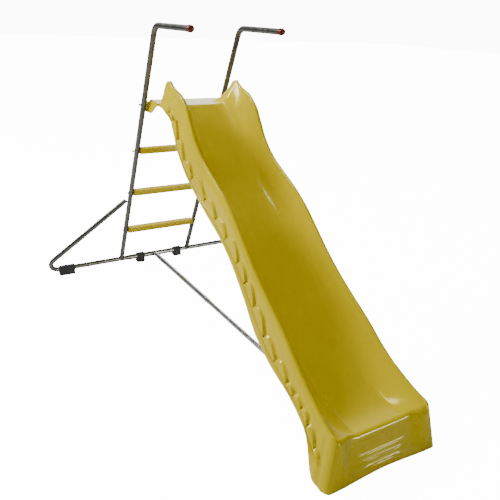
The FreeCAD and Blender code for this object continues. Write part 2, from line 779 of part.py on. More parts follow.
def platform():
    """The flat flange behind the bed, with a leg and gusset against each stile."""
    wall = size("chute_wall")
    outer = platform_inner_x() + wall
    front = chute_start() - size("fin_set") + 3 * wall
    plate = Part.makeBox(2 * outer, front - platform_rear(), size("platform_thick"),
                         Vector(-outer, BASE_Y - front, size("platform_top") - size("platform_thick")))
    outline = leg_outline(front)
    side = Part.Face(Part.makePolygon(outline + outline[:1]))
    bore = size("pin_radius") + size("slip")
    shape = plate
    for x in (-outer, platform_inner_x()):
        leg = side.extrude(Vector(wall, 0, 0))
        leg.translate(Vector(x, 0, 0))
        pin = ladder_point(x - wall, pin_height())
        shape = shape.fuse(leg).cut(Part.makeCylinder(bore, 3 * wall, pin, Vector(1, 0, 0)))
    return shape


def strut_socket():
    """The ring inside the front face that holds the strut's end."""
    radius = size("tube_outer") / 2 - size("tube_wall")
    sunk = Vector(0, size("socket_wall"), 0)       # the ring's foot is sunk this far into the face
    start = Vector(0, BASE_Y - chute_back(), size("ground_axis"))
    ring = Part.makeCylinder(radius + size("socket_wall"), size("socket_long"), start - sunk, ACROSS)
    hole = Part.makeCylinder(radius, size("socket_long") + 2 * size("socket_wall"), start, ACROSS)
    return ring.cut(hole), hole


def chute_back():
    """The inner side of the chute's front face, at the strut's top edge."""
    tilt = math.radians(size("front_tilt"))
    top = size("ground_axis") + size("tube_outer") / 2
    return size("chute_exit") - top * math.tan(tilt) - size("chute_wall") / math.cos(tilt)


def slide_chute():
    """The moulded slide: platform, fins, waved trough and foot in one shell."""
    tilt = math.radians(size("front_tilt"))
    ring, hole = strut_socket()
    shape = run_shell().fuse([foot_shell(tilt), front_face(tilt), platform(), ring])
    item = DOC.addObject("Part::Feature", "slide_chute")
    item.Shape = shape.cut(hole).removeSplitter()
    item.Label = "slide_chute"
    return item


# ---- assembly -----------------------------------------------------------------------------------

def build():
    made = [slide_chute(), base_sleeve(), strut_rear(), strut_front(), strut_bolt(), step_bolts()]
    for side, sign in SIDES:
        made += [upper_stile(side, sign), lower_stile(side, sign), base_loop(side, sign),
                 handle_cap(side, sign)]
    made += [step(number) for number in (1, 2, 3)]
    made += feet() + pins_and_clips()
    DOC.recompute()
    return made


def check(parts):
    for item in DOC.Objects:
        if "Invalid" in item.State or "Error" in item.State:
            raise RuntimeError(f"{item.Name} failed: {item.State}")
    for part in parts:
        if part.Shape.isNull() or not part.Shape.isValid() or part.Shape.Volume <= 0:
            raise RuntimeError(f"{part.Label} has no valid shape")


def write(parts):
    os.makedirs("parts", exist_ok=True)
    for part in parts:
        part.Shape.exportStep(f"parts/{part.Label}.step")
        box_of = part.Shape.BoundBox
        print(f"{part.Label:22s} solids {len(part.Shape.Solids)} volume {part.Shape.Volume / 1000:9.2f} cm3  "
              f"x {box_of.XMin:7.1f} {box_of.XMax:7.1f}  y {box_of.YMin:7.1f} {box_of.YMax:7.1f}  "
              f"z {box_of.ZMin:7.1f} {box_of.ZMax:7.1f}")


PARTS = build()
check(PARTS)
write(PARTS)
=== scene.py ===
# %% [markdown]
# # A garden slide with a wavy chute
# We dress a finished engineering model of a child's slide. Our job is the look of each piece.

# %% Load the frame
import math

import bmesh
import bpy
from mathutils import Matrix, Vector


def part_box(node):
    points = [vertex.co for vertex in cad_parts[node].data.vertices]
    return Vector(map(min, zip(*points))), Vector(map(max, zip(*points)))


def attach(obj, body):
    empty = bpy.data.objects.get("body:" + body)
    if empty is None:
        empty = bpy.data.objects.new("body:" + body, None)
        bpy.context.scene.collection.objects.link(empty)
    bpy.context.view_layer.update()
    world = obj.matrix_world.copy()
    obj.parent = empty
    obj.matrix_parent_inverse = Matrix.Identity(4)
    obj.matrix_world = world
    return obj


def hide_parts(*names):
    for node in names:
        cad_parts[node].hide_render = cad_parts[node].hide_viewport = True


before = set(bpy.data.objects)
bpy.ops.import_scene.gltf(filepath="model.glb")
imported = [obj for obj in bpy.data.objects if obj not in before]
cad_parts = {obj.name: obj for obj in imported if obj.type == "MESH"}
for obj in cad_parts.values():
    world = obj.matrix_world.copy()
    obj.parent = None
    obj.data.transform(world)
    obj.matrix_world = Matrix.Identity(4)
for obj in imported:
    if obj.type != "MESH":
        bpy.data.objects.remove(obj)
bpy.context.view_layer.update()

# %% [markdown]
# Most sizes of this slide are easier to say in millimetres, so we keep one factor and multiply by it.
# "Forward" is the distance from the ground tubes' axis towards the exit, the way a child travels.

# %% Units and the places that everything hangs on
MM = 0.001
UP = Vector((0, 0, 1))
ACROSS = Vector((1, 0, 0))
SIDES = (("left", -1), ("right", 1))
BODY = "slide"


def box_middle(node):
    low, high = (Vector(corner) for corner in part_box(node))
    return (low + high) / 2


def box_size(node):
    low, high = (Vector(corner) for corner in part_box(node))
    return high - low


GROUND_AXIS = box_middle("base_sleeve")
AXIS_Y = GROUND_AXIS.y
EXIT_FORWARD = AXIS_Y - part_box("slide_chute")[0][1]
print("ground tubes' axis:", GROUND_AXIS, "exit lies", round(EXIT_FORWARD, 3), "m forward")

# %% [markdown]
# ## From bmesh to a finished object
# Every new piece ends the same way. Doubles are merged, faces are turned outwards, the mesh gets smooth
# shading with its hard corners kept, and the object stays at the origin with its place in its mesh.

# %% A helper that finishes a piece
SHARP = math.radians(38)
MERGE_GAP = 0.00001
NO_LENGTH = 0.000001


def finish_piece(name, bm, finish, body=BODY, nodes=(), outward=True):
    bmesh.ops.remove_doubles(bm, verts=bm.verts, dist=MERGE_GAP)
    bmesh.ops.dissolve_degenerate(bm, dist=NO_LENGTH, edges=bm.edges)
    if outward:
        bmesh.ops.recalc_face_normals(bm, faces=bm.faces)
    for face in bm.faces:
        face.smooth = True
    for edge in bm.edges:
        edge.smooth = len(edge.link_faces) == 2 and edge.calc_face_angle(0) < SHARP
    mesh = bpy.data.meshes.new(name)
    bm.to_mesh(mesh)
    bm.free()
    piece = bpy.data.objects.new(name, mesh)
    bpy.context.scene.collection.objects.link(piece)
    mesh.materials.append(finish)
    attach(piece, body)
    if nodes:
        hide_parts(*nodes)
    print(f"{name}: {len(mesh.vertices)} vertices, {len(mesh.polygons)} faces")
    return piece

# %% [markdown]
# ## The finishes
# A finish is a small network of nodes. Moulded plastic is never one flat colour: the pigment drifts a
# little, the gloss is broken by handling, and the surface has the faint orange peel of the mould. All
# three come from noise on object coordinates, so they stay put on the piece.

# %% Node helpers
def new_finish(name):
    finish = bpy.data.materials.new(name)
    finish.use_nodes = True
    nodes = finish.node_tree.nodes
    shader = nodes["Principled BSDF"]
    place = nodes.new("ShaderNodeTexCoord")
    return finish, nodes, finish.node_tree.links, shader, place.outputs["Object"]


def add_noise(nodes, links, place, scale, detail, stretch=(1, 1, 1)):
    mapping = nodes.new("ShaderNodeMapping")
    mapping.inputs["Scale"].default_value = stretch
    noise = nodes.new("ShaderNodeTexNoise")
    noise.inputs["Scale"].default_value = scale
    noise.inputs["Detail"].default_value = detail
    links.new(place, mapping.inputs["Vector"])
    links.new(mapping.outputs["Vector"], noise.inputs["Vector"])
    return noise.outputs["Fac"]


def add_range(nodes, links, value, low, high, start=0.3, stop=0.7):
    spread = nodes.new("ShaderNodeMapRange")
    spread.inputs["From Min"].default_value = start
    spread.inputs["From Max"].default_value = stop
    spread.inputs["To Min"].default_value = low
    spread.inputs["To Max"].default_value = high
    links.new(value, spread.inputs["Value"])
    return spread.outputs["Result"]


def add_colours(nodes, links, value, first, second):
    ramp = nodes.new("ShaderNodeValToRGB")
    ramp.color_ramp.elements[0].color = (*first, 1)
    ramp.color_ramp.elements[1].color = (*second, 1)
    ramp.color_ramp.elements[0].position = 0.3
    ramp.color_ramp.elements[1].position = 0.7
    links.new(value, ramp.inputs["Fac"])
    return ramp.outputs["Color"]


def add_bump(nodes, links, height, strength, distance, before=None):
    bump = nodes.new("ShaderNodeBump")
    bump.inputs["Strength"].default_value = strength
    bump.inputs["Distance"].default_value = distance
    links.new(height, bump.inputs["Height"])
    if before:
        links.new(before, bump.inputs["Normal"])
    return bump.outputs["Normal"]


print("node helpers ready;", len(bpy.data.materials), "materials so far")

# %% [markdown]
# Creases of a moulding look deeper than light alone makes them. The ambient occlusion node finds them
# and paints shade there by darkening the pigment. The reflection is tinted a little towards the pigment.

# %% Moulded plastic
# Painted shade in creases: how far the occlusion looks, how dark the pigment gets, and the occlusion range
# it spans.
CREASE_REACH = 20 * MM
PAINTED_SHADE_DARKEST = 0.30
CREASE_FROM, CREASE_TO = 0.35, 0.85
GRAIN_RISE = 0.4 * MM
WAVE_RISE = 1 * MM
TINT = (1.0, 0.88, 0.38, 1)


def add_painted_crease_shade(nodes, links, colour):
    """Paints shade into creases: deepens the colour where little light falls."""
    crease = nodes.new("ShaderNodeAmbientOcclusion")
    crease.samples = 8
    crease.only_local = True
    crease.inputs["Distance"].default_value = CREASE_REACH
    depth = add_range(nodes, links, crease.outputs["AO"], PAINTED_SHADE_DARKEST, 1.0, CREASE_FROM, CREASE_TO)
    mix = nodes.new("ShaderNodeMix")
    mix.data_type = "RGBA"
    mix.blend_type = "MULTIPLY"
    factor, first, second = [socket for socket in mix.inputs if socket.enabled]
    factor.default_value = 1.0
    links.new(colour, first)
    links.new(depth, second)
    return next(socket for socket in mix.outputs if socket.enabled)


def plastic(name, first, second, gloss, peel, scuffs):
    """Glossy plastic: drifting pigment with painted shade in its creases, handled gloss, orange peel and
    long fine scuffs.
    """
    finish, nodes, links, shader, place = new_finish(name)
    drift = add_noise(nodes, links, place, 3.5, 4)
    pigment = add_colours(nodes, links, drift, first, second)
    # The pigment is darkened in its creases: painted shade.
    links.new(add_painted_crease_shade(nodes, links, pigment), shader.inputs["Base Color"])
    streaks = add_noise(nodes, links, place, 9, 6, stretch=scuffs)
    links.new(add_range(nodes, links, streaks, *gloss), shader.inputs["Roughness"])
    grain = add_noise(nodes, links, place, 420, 2)
    skin = add_bump(nodes, links, grain, peel, GRAIN_RISE)
    wave = add_noise(nodes, links, place, 28, 1)
    links.new(add_bump(nodes, links, wave, 0.12, WAVE_RISE, skin), shader.inputs["Normal"])
    shader.inputs["Specular IOR Level"].default_value = 0.36
    shader.inputs["Specular Tint"].default_value = TINT
    return finish


CHUTE_YELLOW = plastic("chute_yellow", (0.71, 0.54, 0.0), (0.79, 0.61, 0.0),
                       gloss=(0.11, 0.19), peel=0.10, scuffs=(1.6, 0.35, 0.6))
STEP_YELLOW = plastic("step_yellow", (0.70, 0.54, 0.002), (0.78, 0.61, 0.003),
                      gloss=(0.26, 0.38), peel=0.16, scuffs=(0.3, 2.0, 2.0))
CAP_RED = plastic("cap_red", (0.115, 0.004, 0.012), (0.15, 0.006, 0.016),
                  gloss=(0.3, 0.42), peel=0.15, scuffs=(1, 1, 1))
print("plastics:", CHUTE_YELLOW.name, STEP_YELLOW.name, CAP_RED.name)

# %% [markdown]
# Zinc plated tube is a metal with a slightly blotchy colour, fine drawing lines along its length and
# small dull patches. The bright strut has the same make-up with a clearer, lighter skin. Rubber is
# black, rough and a little dusty.

# %% Metals and rubber
def plated(name, first, second, gloss, brushed):
    """Zinc plated steel: blotchy colour, dull patches and fine lines."""
    finish, nodes, links, shader, place = new_finish(name)
    blotch = add_noise(nodes, links, place, 30, 5)
    links.new(add_colours(nodes, links, blotch, first, second), shader.inputs["Base Color"])
    patches = add_noise(nodes, links, place, 55, 6)
    links.new(add_range(nodes, links, patches, *gloss), shader.inputs["Roughness"])
    lines = add_noise(nodes, links, place, 240, 2, stretch=brushed)
    links.new(add_bump(nodes, links, lines, 0.04, 0.0002), shader.inputs["Normal"])
    shader.inputs["Metallic"].default_value = 1.0
    return finish


def rubber(name):
    finish, nodes, links, shader, place = new_finish(name)
    dust = add_noise(nodes, links, place, 60, 6)
    links.new(add_colours(nodes, links, dust, (0.006, 0.006, 0.006), (0.016, 0.016, 0.015)),
              shader.inputs["Base Color"])
    links.new(add_range(nodes, links, dust, 0.5, 0.72), shader.inputs["Roughness"])
    grain = add_noise(nodes, links, place, 700, 2)
    links.new(add_bump(nodes, links, grain, 0.25, 0.0004), shader.inputs["Normal"])
    return finish


TUBE_STEEL = plated("tube_steel", (0.10, 0.10, 0.085), (0.15, 0.148, 0.13), (0.24, 0.36), (1, 1, 0.15))
SLEEVE_STEEL = plated("sleeve_steel", (0.15, 0.145, 0.13), (0.22, 0.215, 0.195), (0.26, 0.40), (0.15, 1, 1))
STRUT_STEEL = plated("strut_steel", (0.58, 0.58, 0.585), (0.70, 0.70, 0.71), (0.10, 0.2), (1, 0.15, 1))
HARDWARE_ZINC = plated("zinc_hardware", (0.42, 0.42, 0.40), (0.58, 0.58, 0.56), (0.22, 0.38), (1, 1, 1))
FOOT_RUBBER = rubber("foot_rubber")
print("finishes:", [finish.name for finish in bpy.data.materials if finish.use_nodes])

# %% [markdown]
# ## The chute
# On the real slide this is one hollow moulding: platform, side fins, trough and foot. It could be
# sculpted, but its shape is a rule: a bed that falls in waves, a wall that stands on it, and a skirt that
# hangs from it. So we take one flat grid, a row for each place along the slide and a column for each
# place across it, and move its vertices to where the rule says. A copy of the skin, sunk by the wall's
# thickness, then closes it.

# %% The bed's fall
PLATFORM_TOP = 988 * MM
BED_START = 614 * MM
LIP_TOP = 148 * MM
LIP_FORWARD = 1913 * MM
WAVES = ((1, -106 * MM), (2, 26.5 * MM), (3, -21 * MM), (6, 8 * MM))


def bed_height(forward):
    """A straight fall with a sag and three smaller waves laid over it."""
    share = min(max((forward - BED_START) / (LIP_FORWARD - BED_START), 0.0), 1.0)
    height = PLATFORM_TOP + (LIP_TOP - PLATFORM_TOP) * share
    return height + sum(swing * math.sin(order * math.pi * share) for order, swing in WAVES)


print("bed half way down:", round(bed_height((BED_START + LIP_FORWARD) / 2), 3), "m")

# %% [markdown]
# The top of the wall and the lower edge of the skirt are drawn. Each is a handful of points,
# and a smooth curve runs through them. The curve takes its slope at a point from the two neighbours
# and is flattened at a peak, so it never swings past the points.

# %% A smooth curve through a few points
def slopes_of(knots):
    rises = [(b[1] - a[1]) / (b[0] - a[0]) for a, b in zip(knots, knots[1:])]
    slopes = [rises[0]]
    for before, after in zip(rises, rises[1:]):
        same_way = before * after > 0
        slopes.append(2 * before * after / (before + after) if same_way else 0.0)
    return slopes + [rises[-1]]


def smooth_curve(*knots):
    """A function of place that passes through (place, value) knots given in millimetres."""
    slopes = slopes_of(knots)

    def value_at(place):
        at = min(max(place / MM, knots[0][0]), knots[-1][0])
        index = max(i for i in range(len(knots) - 1) if knots[i][0] <= at)
        (x0, y0), (x1, y1) = knots[index], knots[index + 1]
        span = x1 - x0
        t = (at - x0) / span
        bend = (1 + 2 * t) * (1 - t) ** 2 * y0 + t * t * (3 - 2 * t) * y1
        return MM * (bend + span * (t * (1 - t) ** 2 * slopes[index] - t * t * (1 - t) * slopes[index + 1]))

    return value_at


wall_above_bed = smooth_curve(
    (524, 0), (538, 20), (568, 78), (584, 97), (604, 103), (630, 106), (658, 115), (738, 156), (784, 162),
    (830, 140), (875, 117), (934, 111), (1008, 116), (1207, 125), (1393, 124), (1591, 115), (1703, 92),
    (1810, 65), (1874, 44), (1921, 30))
skirt_edge = smooth_curve(
    (421, 930), (444, 930), (522, 974), (560, 972), (604, 958), (641, 947), (683, 919), (714, 879),
    (744, 820), (794, 767), (854, 717), (1021, 621), (1134, 565), (1234, 495), (1347, 386), (1434, 290),
    (1500, 247), (1562, 216), (1683, 178), (1745, 147), (1805, 120), (1830, 90), (1850, 30), (1868, 0))
groove_line = smooth_curve(
    (421, 942), (522, 981), (560, 984), (604, 974), (641, 962), (686, 940), (737, 860), (817, 773),
    (932, 696), (1092, 620), (1241, 533), (1352, 440), (1437, 354), (1525, 278), (1612, 237), (1689, 202),
    (1763, 174), (1807, 142), (1849, 106), (1890, 78), (1913, 62))
crest_half = smooth_curve(
    (421, 186), (500, 184), (560, 172), (900, 173), (1400, 180), (1700, 192), (1913, 210))
skirt_half = smooth_curve(
    (421, 191), (520, 190), (580, 187), (1100, 190), (1500, 195), (1720, 205), (1805, 218), (1850, 232),
    (1913, 246))
print("wall at the fins:", round(wall_above_bed(606 * MM), 3), "m above the bed")

# %% [markdown]
# One section across the slide is the same sequence of lines and arcs everywhere: flat bed, a generous
# fillet, a leaning inner wall, a rounded crest, and the outer wall down to its lower edge. We walk along
# it from the middle outwards and drop a fixed number of points on every stretch.

# %% One half section
BED_HALF = 62 * MM
BED_FILLET = 70 * MM
CREST_RADIUS = 8.5 * MM
BED_POINTS = 8
FILLET_POINTS = 7
WALL_POINTS = 6
CREST_POINTS = 7
PLAIN_POINTS = 5
LOBE_POINTS = 13
LOBE_BAND = 48 * MM        # the lobes' band, measured squarely from the groove
GROOVE_STEPS = (4.4, 2.2, 0.0, -2.2, -4.4)
LIP_STEPS = (0.35, 0.7, 0.93)


def ease(value):
    value = min(max(value, 0.0), 1.0)
    return value * value * (3 - 2 * value)


def inner_line(bed, crest, half):
    """Flat bed, fillet and leaning wall, up to where the crest's rounding begins."""
    wall = crest - bed
    radius = max(min(BED_FILLET, wall * 0.6), 1 * MM)
    bed_half = BED_HALF + half - 172 * MM
    shoulder = Vector((half - 2 * CREST_RADIUS, crest - min(CREST_RADIUS, wall)))
    centre = Vector((bed_half, bed + radius))
    reach = shoulder - centre
    swing = math.acos(min(1.0, radius / reach.length))
    stop = math.atan2(reach.y, reach.x) - swing
    points = [Vector((bed_half * step / BED_POINTS, bed)) for step in range(BED_POINTS)]
    for step in range(FILLET_POINTS):
        angle = -math.pi / 2 + (stop + math.pi / 2) * step / FILLET_POINTS
        points.append(centre + radius * Vector((math.cos(angle), math.sin(angle))))
    touch = centre + radius * Vector((math.cos(stop), math.sin(stop)))
    for step in range(WALL_POINTS):
        points.append(touch.lerp(shoulder, step / WALL_POINTS))
    flat = [Vector(((half - 2 * CREST_RADIUS) * step / len(points), bed)) for step in range(len(points))]
    weight = ease(wall / (30 * MM))
    return [level.lerp(point, weight) for level, point in zip(flat, points)]


def crest_arc(bed, crest, half):
    inner_drop = min(CREST_RADIUS, crest - bed)
    points = []
    for step in range(CREST_POINTS + 1):
        angle = math.pi * (1 - step / CREST_POINTS)
        drop = inner_drop if angle > math.pi / 2 else CREST_RADIUS
        rise = crest - drop * (1 - math.sin(angle))
        points.append(Vector((half - CREST_RADIUS + CREST_RADIUS * math.cos(angle), rise)))
    return points


def outer_heights(crest, groove, low, fall):
    """Heights down the outer wall: plain band, lobes' band, groove and rolled lip."""
    top = crest - CREST_RADIUS
    band = groove + min(LOBE_BAND / math.cos(fall), (top - groove) * 0.72)
    heights = [top + (band - top) * step / PLAIN_POINTS for step in range(1, PLAIN_POINTS)]
    first = groove + 5 * MM
    heights += [band + (first - band) * step / (LOBE_POINTS - 1) for step in range(LOBE_POINTS)]
    heights += [groove + step * MM for step in GROOVE_STEPS]
    lip = groove + GROOVE_STEPS[-1] * MM
    return heights + [lip + (low - lip) * share for share in LIP_STEPS] + [low]


SECTION_POINTS = (BED_POINTS + FILLET_POINTS + WALL_POINTS + CREST_POINTS + 1 + PLAIN_POINTS - 1
                  + LOBE_POINTS + len(GROOVE_STEPS) + len(LIP_STEPS) + 1)
FIRST_OUTER = BED_POINTS + FILLET_POINTS + WALL_POINTS + CREST_POINTS + 1
print("points on a half section:", SECTION_POINTS)

# %% [markdown]
# The outer wall carries relief. A row of wave-like lobes stands along the groove, each one steep at
# its upper end and drawn out below. Above them a proud band starts in a round arch behind the fin. A
# groove and a rolled lip run along the lower edge. Relief this deep belongs in the mesh, because a bump
# map would leave the outline flat.

# %% Relief on the outer wall
LOBES = (46, 40, 92, 100, 100, 132, 108, 100, 110, 84, 92, 114, 104, 90, 52, 52, 56, 70, 42, 64, 52)
LOBE_START = 612 * MM
LOBE_PROUD = 9.0 * MM
LOBE_EDGE = 3.2 * MM
BAND_PROUD = 4.0 * MM
BAND_EDGE = 6 * MM
BAND_FADE = 14 * MM
ARCH_MIDDLE = Vector((728 * MM, 990 * MM))
ARCH_RADIUS = 44 * MM
GROOVE_DEPTH = 5.0 * MM
GROOVE_HALF = 4          # millimetres, as the groove rule counts in them
LIP_ROLL = 6.5 * MM


def lobe_outline(phase, length):
    """How far the lobe's edge stands off the groove at a phase along the lobe."""
    full = 0.34 * length + 5 * MM
    rise = min(1.0, phase / 0.11) ** 0.55
    return full * rise * (0.36 + 0.64 * math.sin(math.pi * (0.06 + 0.94 * phase) ** 0.85))


def lobe_relief(along, off):
    """Proud height of the lobes at a place along the groove and a distance off it."""
    place = (along - LOBE_START) / MM
    for length in LOBES:
        if 0 <= place < length:
            edge = lobe_outline(place / length, length * MM)
            return LOBE_PROUD * ease((edge - off) / LOBE_EDGE + 0.5)
        place -= length
    return 0.0


def band_relief(forward, height, crest):
    if forward < ARCH_MIDDLE.x:
        inside = ARCH_RADIUS - math.hypot(forward - ARCH_MIDDLE.x, max(0.0, height - ARCH_MIDDLE.y))
    else:
        inside = ARCH_MIDDLE.y + ARCH_RADIUS - height
    below_crest = crest - CREST_RADIUS - height
    return BAND_PROUD * ease(inside / BAND_EDGE) * ease(below_crest / BAND_FADE)


def groove_relief(height, groove, low):
    """The groove's valley and the lip's roll below it."""
    off = (height - groove) / MM
    if abs(off) < GROOVE_HALF:
        return -GROOVE_DEPTH * math.cos(math.pi * off / (2 * GROOVE_HALF)) ** 2
    if off > 0:
        return 0.0
    edge = groove - GROOVE_HALF * MM
    share = (edge - height) / max(edge - low, MM)
    return LIP_ROLL * math.sin(math.pi * min(max(share, 0.0), 1.0))


print("lobes along the groove:", len(LOBES))

# %% [markdown]
# The foot ends in a front face. Two rounded legs stand at its sides, and between them the face is set
# back: it leans from the lip to the ground, and it blends into the legs with soft edges. Both are one
# rule that says how far forward the face lies at a width and a height.

# %% The front face
LEG_LEAN = 0.13
PANEL_LEAN = 0.27
PANEL_HALF = 152 * MM
PANEL_REACH = 186 * MM
PANEL_FOOT = -14 * MM
PANEL_EDGE = 62 * MM
FOOT_START = 1802 * MM
RIDGES = ((74 * MM, 98 * MM), (53 * MM, 84 * MM), (31 * MM, 70 * MM))     # height and half width
RIDGE_END = 8 * MM
RIDGE_PROUD = 4.2 * MM
RIDGE_HALF = 3.0 * MM
CREASE_HEIGHT = 117 * MM
ARCH_RISE = 9 * MM
ARCH_HALF = 215 * MM


def front_forward(x, height):
    """How far forward the front face lies."""
    leg = EXIT_FORWARD - LEG_LEAN * height
    panel = EXIT_FORWARD - PANEL_LEAN * height - 4 * MM
    inside = ease((PANEL_REACH - abs(x)) / PANEL_EDGE) * ease((height - PANEL_FOOT) / PANEL_EDGE)
    for place, half in RIDGES:
        reach = ease((half - abs(x)) / RIDGE_END)
        panel += RIDGE_PROUD * reach * math.exp(-((height - place) / RIDGE_HALF) ** 2)
    panel -= 1.6 * MM * ease((CREASE_HEIGHT - height) / (5 * MM))
    return leg + (panel - leg) * inside


def ground_height(x):
    """The arch under the front face."""
    if abs(x) > ARCH_HALF:
        return 0.0
    return ARCH_RISE * math.cos(math.pi * x / (2 * ARCH_HALF)) ** 2


print("the panel is set back", round(front_forward(0.18, 0.14) - front_forward(0, 0.14), 3), "m at the lip")

# %% [markdown]
# Now the rows. On the platform they are sparse. Down the chute they keep an even spacing along the
# slope, so that the lobes are drawn evenly where the bed is steep. In the foot each column runs on to
# its own end on the front face.

# %% Places of the rows
ROW_STEP = 5.4 * MM
PLATFORM_REAR = 421 * MM
LEG_REAR = 384 * MM
FIN_REAR = 500 * MM


def place_rows():
    """Forward places of the sections, evenly spaced along the slope of the groove."""
    rows = [FIN_REAR + 5 * MM * step for step in range(21)]
    while rows[-1] < FOOT_START:
        here = rows[-1]
        fall = (groove_line(here) - groove_line(here + MM)) / MM
        rows.append(here + ROW_STEP / math.hypot(1, fall))
    rows[-1] = FOOT_START
    return rows


ROWS = place_rows()
ALONG = [LOBE_START]
for first, second in zip(ROWS, ROWS[1:]):
    rise = groove_line(first) - groove_line(second)
    ALONG.append(ALONG[-1] + math.hypot(second - first, rise))
start_along = max(value for row, value in zip(ROWS, ALONG) if row <= LOBE_START)
ALONG = [value - start_along + LOBE_START for value in ALONG]
print("sections down the chute:", len(ROWS))

# %% [markdown]
# A row of the grid is a whole section: the half section is worked out once, then used on both sides.
# Each point keeps three numbers, its width, its distance forward and its height.

# %% Whole sections
RELIEF_FROM = 594 * MM
RELIEF_TO = LIP_FORWARD - 6 * MM
RELIEF_END = 26 * MM


def half_section(forward, along):
    """Points (x, z) of the right half, from the middle of the bed to the skirt's edge."""
    bed = bed_height(forward)
    crest = bed + wall_above_bed(forward)
    low, groove = skirt_edge(forward), groove_line(forward)
    half, wide = crest_half(forward), skirt_half(forward)
    fall = math.atan((groove_line(forward - MM) - groove_line(forward + MM)) / (2 * MM))
    points = inner_line(bed, crest, half) + crest_arc(bed, crest, half)
    top = crest - CREST_RADIUS
    for height in outer_heights(crest, groove, low, fall):
        share = (top - height) / max(top - min(low, groove - 14 * MM), MM)
        above = height - groove
        relief = band_relief(forward, height, crest) + groove_relief(height, groove, low)
        if above > 0:
            relief += lobe_relief(along - above * math.sin(fall), above * math.cos(fall))
        relief *= ease((RELIEF_TO - forward) / RELIEF_END) * ease((forward - RELIEF_FROM) / RELIEF_END)
        points.append(Vector((half + (wide - half) * min(share, 1.0) + relief, height)))
    return points


def platform_rows():
    """Back from the fins: the plate ends at its rear edge, the side flanges run on past the pins."""
    rows = []
    steps = 16
    for step in range(steps):
        share = step / steps
        row = []
        for index, point in enumerate(half_section(FIN_REAR, LOBE_START - 1)):
            rear = LEG_REAR if index >= FIRST_OUTER else PLATFORM_REAR
            forward = rear + (FIN_REAR - rear) * share
            level = half_section(max(forward, PLATFORM_REAR), LOBE_START - 1)[index]
            row.append((level.x, forward, level.y))
        rows.append(row)
    return rows


def chute_rows():
    return [[(point.x, forward, point.y) for point in half_section(forward, along)]
            for forward, along in zip(ROWS, ALONG)]


def foot_rows():
    """The last stretch, where every column runs to its own end on the front face."""
    rows = []
    steps = 20
    reach = LIP_FORWARD - FOOT_START
    for step in range(1, steps + 1):
        share = step / steps
        nominal = FOOT_START + reach * share
        along = ALONG[-1] + (nominal - FOOT_START) * 1.25
        row = []
        for point in half_section(nominal, along):
            stop = front_forward(point.x, point.y) - edge_depth(point.x)
            row.append((point.x, FOOT_START + (stop - FOOT_START) * share, point.y))
        rows.append(row)
    return rows


LIP_ROUND = 13 * MM
LEG_ROUND = 34 * MM
ROUND_STEPS = 9
FACE_STEPS = 76


def edge_depth(x):
    """Radius of the rounding between the section and the front face: small at the lip, large at the legs."""
    return LIP_ROUND + (LEG_ROUND - LIP_ROUND) * ease((abs(x) - PANEL_HALF) / (66 * MM))


def face_point(x, height):
    """Where a section point lands on the front face after the rounding."""
    squeezed = min(height, LIP_TOP) * (LIP_TOP - LIP_ROUND) / LIP_TOP + 0.2 * max(0.0, height - LIP_TOP)
    return x - (edge_depth(x) - LIP_ROUND), squeezed


def front_rows(last):
    """The rounding over the lip and round the legs, then the face down to the ground."""
    rows = []
    for step in range(1, ROUND_STEPS + 1):
        angle = math.pi / 2 * step / ROUND_STEPS
        row = []
        for x, _, height in last:
            end_x, end_height = face_point(x, height)
            share = 1 - math.cos(angle)
            px, pz = x + (end_x - x) * share, height + (end_height - height) * share
            start = front_forward(x, height) - edge_depth(x)
            stop = front_forward(end_x, end_height)
            row.append((px, start + (stop - start) * math.sin(angle), pz))
        rows.append(row)
    tops = rows[-1]
    level = tops[0][2]
    for step in range(1, FACE_STEPS + 1):
        share = step / FACE_STEPS
        row = []
        for x, _, top in tops:
            extra = (top - level) * max(0.0, 1 - 3.2 * share) ** 2 if top > level else 0.0
            height = min(top, level) * (1 - share) + min(ground_height(x), top) * share ** 4 + extra
            row.append((x, front_forward(x, height), height))
        rows.append(row)
    return rows


def all_rows():
    rows = platform_rows() + chute_rows() + foot_rows()
    return rows + front_rows(rows[-1])


CHUTE_ROWS = all_rows()
print("grid:", len(CHUTE_ROWS), "rows of", 2 * SECTION_POINTS - 1)

# %% [markdown]
# The operator create_grid makes the flat grid. Each vertex knows its column and row from where it
# lies, so a loop can carry it to its section. The sheet is then turned so that the bed looks up. The
# solidify operator throws spikes out of tight folds, so the wall is a duplicate, sunk along the
# normals and joined to the skin at its rims.

# %% Build the chute
CHUTE_WALL = 4.2 * MM
FOLD_GAP = 0.00005


def inner_twin(bm, wall):
    """Copies the skin, sinks it by the wall but not below ground, and joins the rims."""
    bm.normal_update()
    rim = [loop for face in bm.faces for loop in face.loops if loop.edge.is_boundary]
    ends = [(loop.vert, loop.link_loop_next.vert) for loop in rim]
    made = bmesh.ops.duplicate(bm, geom=bm.faces[:])
    twin = made["vert_map"]
    inner = [item for item in made["geom"] if isinstance(item, bmesh.types.BMFace)]
    places = {vert: vert.co - vert.normal * wall for face in inner for vert in face.verts}
    for vert, place in places.items():
        vert.co = (place.x, place.y, max(place.z, 0.0))
    bmesh.ops.reverse_faces(bm, faces=inner)
    for first, second in ends:
        bm.faces.new((second, first, twin[first], twin[second]))


def build_chute():
    columns = 2 * (SECTION_POINTS - 1)
    lines = len(CHUTE_ROWS) - 1
    bm = bmesh.new()
    bmesh.ops.create_grid(bm, x_segments=columns, y_segments=lines, size=1.0)
    for vert in bm.verts:
        column = round((vert.co.x + 1) / 2 * columns)
        row = round((vert.co.y + 1) / 2 * lines)
        side = column - columns // 2
        x, forward, height = CHUTE_ROWS[row][abs(side)]
        vert.co = (math.copysign(x, side), AXIS_Y - forward, height)
    bmesh.ops.remove_doubles(bm, verts=bm.verts, dist=FOLD_GAP)
    bmesh.ops.dissolve_degenerate(bm, dist=MERGE_GAP, edges=bm.edges)
    bm.normal_update()
    flat = max(bm.faces, key=lambda face: face.calc_area())
    if flat.normal.z < 0:
        bmesh.ops.reverse_faces(bm, faces=bm.faces)
    inner_twin(bm, CHUTE_WALL)
    return bm


